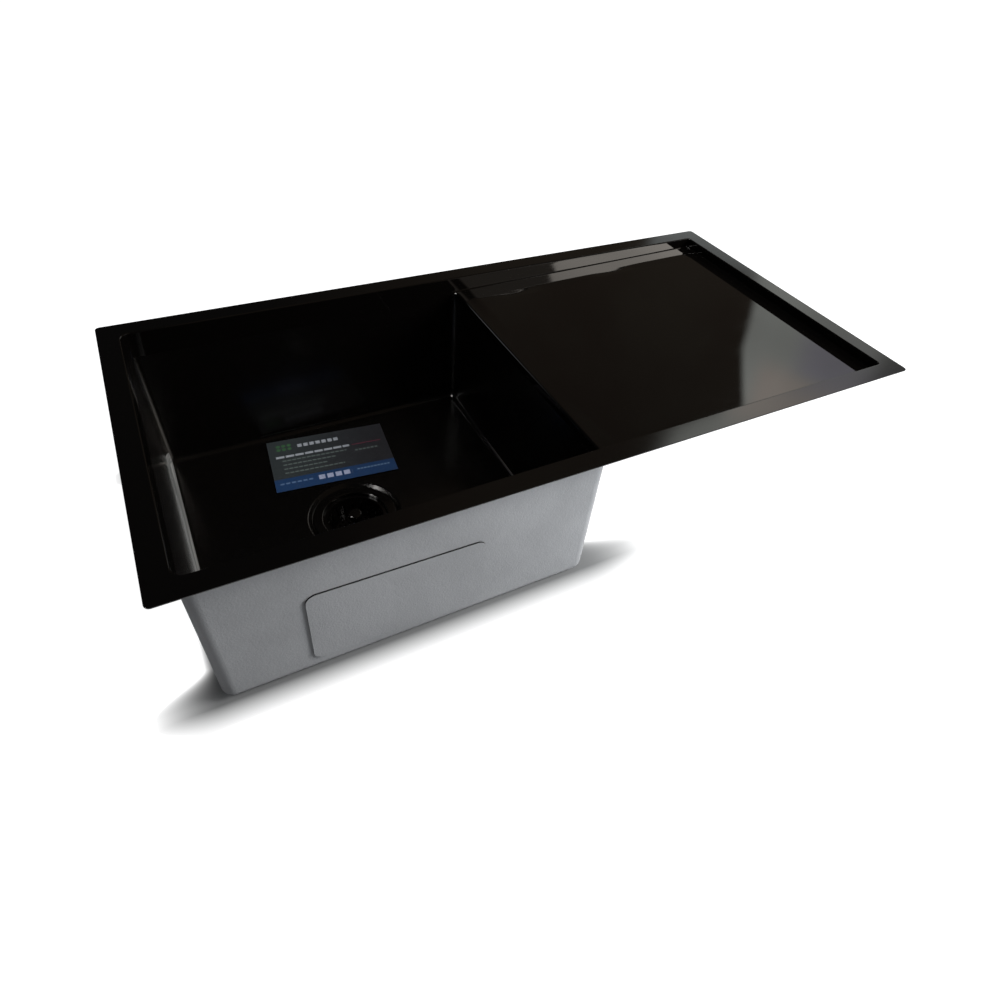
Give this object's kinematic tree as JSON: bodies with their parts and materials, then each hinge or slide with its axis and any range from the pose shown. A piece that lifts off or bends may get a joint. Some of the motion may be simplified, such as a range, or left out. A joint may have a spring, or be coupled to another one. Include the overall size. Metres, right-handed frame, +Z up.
{
  "type": "kitchen sink",
  "caption": "Inset sink with a deep rectangular bowl on the left, a flat drainer on the right and a basket strainer waste.",
  "frame": {"origin": "centre of the rim's outline, in the plane of the rim's underside, which is the top of the worktop", "axes": "+X along the sink from the bowl to the drainer, +Y to the back, +Z up"},
  "size_m": [0.94, 0.457, 0.3837],
  "materials": {
    "black_steel": "gloss black coated stainless steel",
    "spray_coat": "sprayed grey anti-condensation coating",
    "sound_pad": "grey coated sound pad",
    "plain_steel": "plain stainless steel",
    "label": "printed film",
    "rubber": "black rubber",
    "fibre": "pressed fibre",
    "nut_plastic": "moulded plastic",
    "plated": "chrome plate"
  },
  "bodies": {
    "root": {"deck": "black_steel", "bowl": "black_steel", "bowl_coating": "spray_coat", "drainer_coating": "spray_coat", "front_sound_pad": "sound_pad", "back_sound_pad": "sound_pad", "left_sound_pad": "sound_pad", "right_sound_pad": "sound_pad", "floor_sound_pads": "sound_pad", "drainer_sound_pad": "sound_pad", "drainer_stiffeners": "plain_steel", "care_label": "label", "strainer_body": "black_steel", "flange_gasket": "rubber", "underside_washer": "rubber"},
    "basket": {"strainer_basket": "black_steel"},
    "plug": {"plug_post": "plain_steel", "plug_knob": "black_steel", "plug_seal": "rubber", "seal_retainer": "plain_steel"},
    "friction_ring": {"friction_ring": "fibre"},
    "lock_nut": {"lock_nut": "nut_plastic"},
    "tailpiece": {"tailpiece": "plated", "tailpiece_washer": "rubber"},
    "coupling_nut": {"coupling_nut": "plated"}
  },
  "joints": [
    {"name": "basket_lift", "type": "slide", "parent": "root", "child": "basket", "axis": [0, 0, 1], "range_m": [0, 0.12]},
    {"name": "plug_lift", "type": "slide", "parent": "basket", "child": "plug", "axis": [0, 0, 1], "range_m": [0, 0.008]},
    {"name": "friction_ring_drop", "type": "slide", "parent": "root", "child": "friction_ring", "axis": [0, 0, -1], "range_m": [0, 0.0301]},
    {"name": "lock_nut_turn", "type": "hinge", "parent": "friction_ring", "child": "lock_nut", "pos_m": [-0.234, 0.002, -0.219], "axis": [0, 0, -1], "range_deg": [0, 5400]},
    {"name": "tailpiece_drop", "type": "slide", "parent": "root", "child": "tailpiece", "axis": [0, 0, -1], "range_m": [0, 0.01049]},
    {"name": "coupling_nut_turn", "type": "hinge", "parent": "tailpiece", "child": "coupling_nut", "pos_m": [-0.234, 0.002, -0.2805], "axis": [0, 0, -1], "range_deg": [0, 1620]}
  ],
  "couplings": [
    {"joint": "friction_ring_drop", "follows": "lock_nut_turn", "m_per_rad": 0.00031831},
    {"joint": "tailpiece_drop", "follows": "coupling_nut_turn", "m_per_rad": 0.00036749}
  ]
}
